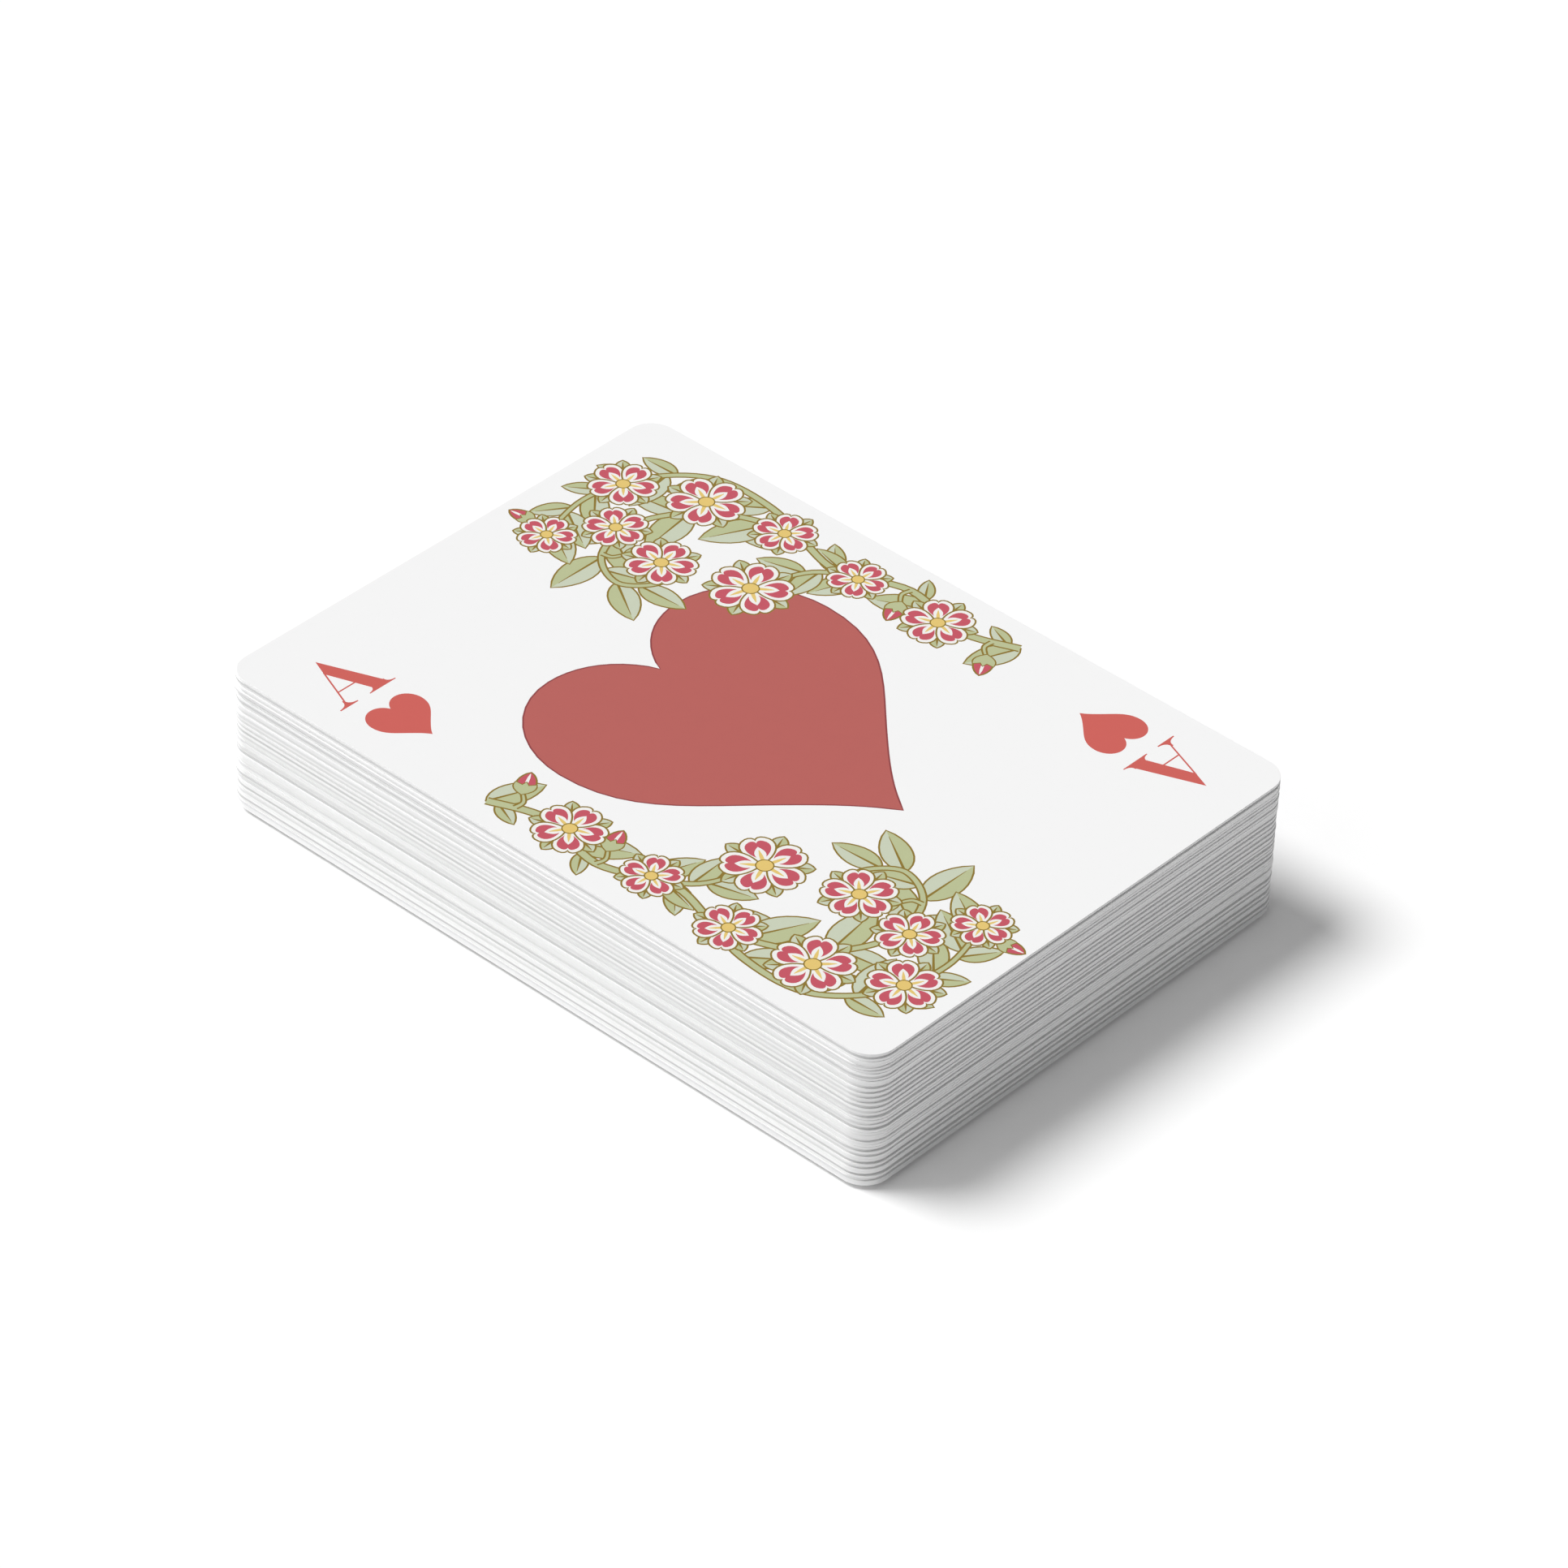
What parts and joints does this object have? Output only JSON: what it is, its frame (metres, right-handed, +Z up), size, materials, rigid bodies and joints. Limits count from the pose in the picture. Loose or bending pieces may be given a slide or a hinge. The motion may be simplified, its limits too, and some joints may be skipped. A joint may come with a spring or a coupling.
{
  "type": "deck of playing cards",
  "caption": "Squared stack of loose playing cards with rounded corners, lying face up with the ace of hearts on top; every card slides out of the pack.",
  "frame": {"origin": "on the table, under the middle of the pack", "axes": "+Z up out of the printed faces, +Y towards the faces' top edge, +X towards their right edge"},
  "size_m": [0.0632, 0.0884, 0.0165],
  "materials": {
    "card_stock": "smooth white coated card with a low sheen, printed in muted red, near-black and sage green"
  },
  "bodies": {
    "black_joker": {"black_joker": "card_stock"},
    "red_joker": {"red_joker": "card_stock"},
    "king_of_spades": {"king_of_spades": "card_stock"},
    "queen_of_spades": {"queen_of_spades": "card_stock"},
    "jack_of_spades": {"jack_of_spades": "card_stock"},
    "ten_of_spades": {"ten_of_spades": "card_stock"},
    "nine_of_spades": {"nine_of_spades": "card_stock"},
    "eight_of_spades": {"eight_of_spades": "card_stock"},
    "seven_of_spades": {"seven_of_spades": "card_stock"},
    "six_of_spades": {"six_of_spades": "card_stock"},
    "five_of_spades": {"five_of_spades": "card_stock"},
    "four_of_spades": {"four_of_spades": "card_stock"},
    "three_of_spades": {"three_of_spades": "card_stock"},
    "two_of_spades": {"two_of_spades": "card_stock"},
    "ace_of_spades": {"ace_of_spades": "card_stock"},
    "king_of_clubs": {"king_of_clubs": "card_stock"},
    "queen_of_clubs": {"queen_of_clubs": "card_stock"},
    "jack_of_clubs": {"jack_of_clubs": "card_stock"},
    "ten_of_clubs": {"ten_of_clubs": "card_stock"},
    "nine_of_clubs": {"nine_of_clubs": "card_stock"},
    "eight_of_clubs": {"eight_of_clubs": "card_stock"},
    "seven_of_clubs": {"seven_of_clubs": "card_stock"},
    "six_of_clubs": {"six_of_clubs": "card_stock"},
    "five_of_clubs": {"five_of_clubs": "card_stock"},
    "four_of_clubs": {"four_of_clubs": "card_stock"},
    "three_of_clubs": {"three_of_clubs": "card_stock"},
    "two_of_clubs": {"two_of_clubs": "card_stock"},
    "ace_of_clubs": {"ace_of_clubs": "card_stock"},
    "king_of_diamonds": {"king_of_diamonds": "card_stock"},
    "queen_of_diamonds": {"queen_of_diamonds": "card_stock"},
    "jack_of_diamonds": {"jack_of_diamonds": "card_stock"},
    "ten_of_diamonds": {"ten_of_diamonds": "card_stock"},
    "nine_of_diamonds": {"nine_of_diamonds": "card_stock"},
    "eight_of_diamonds": {"eight_of_diamonds": "card_stock"},
    "seven_of_diamonds": {"seven_of_diamonds": "card_stock"},
    "six_of_diamonds": {"six_of_diamonds": "card_stock"},
    "five_of_diamonds": {"five_of_diamonds": "card_stock"},
    "four_of_diamonds": {"four_of_diamonds": "card_stock"},
    "three_of_diamonds": {"three_of_diamonds": "card_stock"},
    "two_of_diamonds": {"two_of_diamonds": "card_stock"},
    "ace_of_diamonds": {"ace_of_diamonds": "card_stock"},
    "king_of_hearts": {"king_of_hearts": "card_stock"},
    "queen_of_hearts": {"queen_of_hearts": "card_stock"},
    "jack_of_hearts": {"jack_of_hearts": "card_stock"},
    "ten_of_hearts": {"ten_of_hearts": "card_stock"},
    "nine_of_hearts": {"nine_of_hearts": "card_stock"},
    "eight_of_hearts": {"eight_of_hearts": "card_stock"},
    "seven_of_hearts": {"seven_of_hearts": "card_stock"},
    "six_of_hearts": {"six_of_hearts": "card_stock"},
    "five_of_hearts": {"five_of_hearts": "card_stock"},
    "four_of_hearts": {"four_of_hearts": "card_stock"},
    "three_of_hearts": {"three_of_hearts": "card_stock"},
    "two_of_hearts": {"two_of_hearts": "card_stock"},
    "ace_of_hearts": {"ace_of_hearts": "card_stock"}
  },
  "joints": [
    {"name": "red_joker_slide", "type": "slide", "parent": "black_joker", "child": "red_joker", "axis": [1, 0, 0], "range_m": [-0.066, 0.066]},
    {"name": "king_of_spades_slide", "type": "slide", "parent": "black_joker", "child": "king_of_spades", "axis": [1, 0, 0], "range_m": [-0.066, 0.066]},
    {"name": "queen_of_spades_slide", "type": "slide", "parent": "black_joker", "child": "queen_of_spades", "axis": [1, 0, 0], "range_m": [-0.066, 0.066]},
    {"name": "jack_of_spades_slide", "type": "slide", "parent": "black_joker", "child": "jack_of_spades", "axis": [1, 0, 0], "range_m": [-0.066, 0.066]},
    {"name": "ten_of_spades_slide", "type": "slide", "parent": "black_joker", "child": "ten_of_spades", "axis": [1, 0, 0], "range_m": [-0.066, 0.066]},
    {"name": "nine_of_spades_slide", "type": "slide", "parent": "black_joker", "child": "nine_of_spades", "axis": [1, 0, 0], "range_m": [-0.066, 0.066]},
    {"name": "eight_of_spades_slide", "type": "slide", "parent": "black_joker", "child": "eight_of_spades", "axis": [1, 0, 0], "range_m": [-0.066, 0.066]},
    {"name": "seven_of_spades_slide", "type": "slide", "parent": "black_joker", "child": "seven_of_spades", "axis": [1, 0, 0], "range_m": [-0.066, 0.072]},
    {"name": "six_of_spades_slide", "type": "slide", "parent": "black_joker", "child": "six_of_spades", "axis": [1, 0, 0], "range_m": [-0.066, 0.081]},
    {"name": "five_of_spades_slide", "type": "slide", "parent": "black_joker", "child": "five_of_spades", "axis": [1, 0, 0], "range_m": [-0.066, 0.09]},
    {"name": "four_of_spades_slide", "type": "slide", "parent": "black_joker", "child": "four_of_spades", "axis": [1, 0, 0], "range_m": [-0.066, 0.099]},
    {"name": "three_of_spades_slide", "type": "slide", "parent": "black_joker", "child": "three_of_spades", "axis": [1, 0, 0], "range_m": [-0.066, 0.108]},
    {"name": "two_of_spades_slide", "type": "slide", "parent": "black_joker", "child": "two_of_spades", "axis": [1, 0, 0], "range_m": [-0.066, 0.117]},
    {"name": "ace_of_spades_slide", "type": "slide", "parent": "black_joker", "child": "ace_of_spades", "axis": [1, 0, 0], "range_m": [-0.066, 0.126]},
    {"name": "king_of_clubs_slide", "type": "slide", "parent": "black_joker", "child": "king_of_clubs", "axis": [1, 0, 0], "range_m": [-0.066, 0.135]},
    {"name": "queen_of_clubs_slide", "type": "slide", "parent": "black_joker", "child": "queen_of_clubs", "axis": [1, 0, 0], "range_m": [-0.066, 0.144]},
    {"name": "jack_of_clubs_slide", "type": "slide", "parent": "black_joker", "child": "jack_of_clubs", "axis": [1, 0, 0], "range_m": [-0.066, 0.153]},
    {"name": "ten_of_clubs_slide", "type": "slide", "parent": "black_joker", "child": "ten_of_clubs", "axis": [1, 0, 0], "range_m": [-0.066, 0.162]},
    {"name": "nine_of_clubs_slide", "type": "slide", "parent": "black_joker", "child": "nine_of_clubs", "axis": [1, 0, 0], "range_m": [-0.066, 0.171]},
    {"name": "eight_of_clubs_slide", "type": "slide", "parent": "black_joker", "child": "eight_of_clubs", "axis": [1, 0, 0], "range_m": [-0.066, 0.18]},
    {"name": "seven_of_clubs_slide", "type": "slide", "parent": "black_joker", "child": "seven_of_clubs", "axis": [1, 0, 0], "range_m": [-0.066, 0.189]},
    {"name": "six_of_clubs_slide", "type": "slide", "parent": "black_joker", "child": "six_of_clubs", "axis": [1, 0, 0], "range_m": [-0.066, 0.198]},
    {"name": "five_of_clubs_slide", "type": "slide", "parent": "black_joker", "child": "five_of_clubs", "axis": [1, 0, 0], "range_m": [-0.066, 0.207]},
    {"name": "four_of_clubs_slide", "type": "slide", "parent": "black_joker", "child": "four_of_clubs", "axis": [1, 0, 0], "range_m": [-0.066, 0.216]},
    {"name": "three_of_clubs_slide", "type": "slide", "parent": "black_joker", "child": "three_of_clubs", "axis": [1, 0, 0], "range_m": [-0.066, 0.225]},
    {"name": "two_of_clubs_slide", "type": "slide", "parent": "black_joker", "child": "two_of_clubs", "axis": [1, 0, 0], "range_m": [-0.066, 0.234]},
    {"name": "ace_of_clubs_slide", "type": "slide", "parent": "black_joker", "child": "ace_of_clubs", "axis": [1, 0, 0], "range_m": [-0.066, 0.243]},
    {"name": "king_of_diamonds_slide", "type": "slide", "parent": "black_joker", "child": "king_of_diamonds", "axis": [1, 0, 0], "range_m": [-0.066, 0.252]},
    {"name": "queen_of_diamonds_slide", "type": "slide", "parent": "black_joker", "child": "queen_of_diamonds", "axis": [1, 0, 0], "range_m": [-0.066, 0.261]},
    {"name": "jack_of_diamonds_slide", "type": "slide", "parent": "black_joker", "child": "jack_of_diamonds", "axis": [1, 0, 0], "range_m": [-0.066, 0.27]},
    {"name": "ten_of_diamonds_slide", "type": "slide", "parent": "black_joker", "child": "ten_of_diamonds", "axis": [1, 0, 0], "range_m": [-0.066, 0.279]},
    {"name": "nine_of_diamonds_slide", "type": "slide", "parent": "black_joker", "child": "nine_of_diamonds", "axis": [1, 0, 0], "range_m": [-0.066, 0.288]},
    {"name": "eight_of_diamonds_slide", "type": "slide", "parent": "black_joker", "child": "eight_of_diamonds", "axis": [1, 0, 0], "range_m": [-0.066, 0.297]},
    {"name": "seven_of_diamonds_slide", "type": "slide", "parent": "black_joker", "child": "seven_of_diamonds", "axis": [1, 0, 0], "range_m": [-0.066, 0.306]},
    {"name": "six_of_diamonds_slide", "type": "slide", "parent": "black_joker", "child": "six_of_diamonds", "axis": [1, 0, 0], "range_m": [-0.066, 0.315]},
    {"name": "five_of_diamonds_slide", "type": "slide", "parent": "black_joker", "child": "five_of_diamonds", "axis": [1, 0, 0], "range_m": [-0.066, 0.324]},
    {"name": "four_of_diamonds_slide", "type": "slide", "parent": "black_joker", "child": "four_of_diamonds", "axis": [1, 0, 0], "range_m": [-0.066, 0.333]},
    {"name": "three_of_diamonds_slide", "type": "slide", "parent": "black_joker", "child": "three_of_diamonds", "axis": [1, 0, 0], "range_m": [-0.066, 0.342]},
    {"name": "two_of_diamonds_slide", "type": "slide", "parent": "black_joker", "child": "two_of_diamonds", "axis": [1, 0, 0], "range_m": [-0.066, 0.351]},
    {"name": "ace_of_diamonds_slide", "type": "slide", "parent": "black_joker", "child": "ace_of_diamonds", "axis": [1, 0, 0], "range_m": [-0.066, 0.36]},
    {"name": "king_of_hearts_slide", "type": "slide", "parent": "black_joker", "child": "king_of_hearts", "axis": [1, 0, 0], "range_m": [-0.066, 0.369]},
    {"name": "queen_of_hearts_slide", "type": "slide", "parent": "black_joker", "child": "queen_of_hearts", "axis": [1, 0, 0], "range_m": [-0.066, 0.378]},
    {"name": "jack_of_hearts_slide", "type": "slide", "parent": "black_joker", "child": "jack_of_hearts", "axis": [1, 0, 0], "range_m": [-0.066, 0.387]},
    {"name": "ten_of_hearts_slide", "type": "slide", "parent": "black_joker", "child": "ten_of_hearts", "axis": [1, 0, 0], "range_m": [-0.066, 0.396]},
    {"name": "nine_of_hearts_slide", "type": "slide", "parent": "black_joker", "child": "nine_of_hearts", "axis": [1, 0, 0], "range_m": [-0.066, 0.405]},
    {"name": "eight_of_hearts_slide", "type": "slide", "parent": "black_joker", "child": "eight_of_hearts", "axis": [1, 0, 0], "range_m": [-0.066, 0.414]},
    {"name": "seven_of_hearts_slide", "type": "slide", "parent": "black_joker", "child": "seven_of_hearts", "axis": [1, 0, 0], "range_m": [-0.066, 0.423]},
    {"name": "six_of_hearts_slide", "type": "slide", "parent": "black_joker", "child": "six_of_hearts", "axis": [1, 0, 0], "range_m": [-0.066, 0.432]},
    {"name": "five_of_hearts_slide", "type": "slide", "parent": "black_joker", "child": "five_of_hearts", "axis": [1, 0, 0], "range_m": [-0.066, 0.441]},
    {"name": "four_of_hearts_slide", "type": "slide", "parent": "black_joker", "child": "four_of_hearts", "axis": [1, 0, 0], "range_m": [-0.066, 0.45]},
    {"name": "three_of_hearts_slide", "type": "slide", "parent": "black_joker", "child": "three_of_hearts", "axis": [1, 0, 0], "range_m": [-0.066, 0.459]},
    {"name": "two_of_hearts_slide", "type": "slide", "parent": "black_joker", "child": "two_of_hearts", "axis": [1, 0, 0], "range_m": [-0.066, 0.468]},
    {"name": "ace_of_hearts_slide", "type": "slide", "parent": "black_joker", "child": "ace_of_hearts", "axis": [1, 0, 0], "range_m": [-0.066, 0.477]}
  ]
}
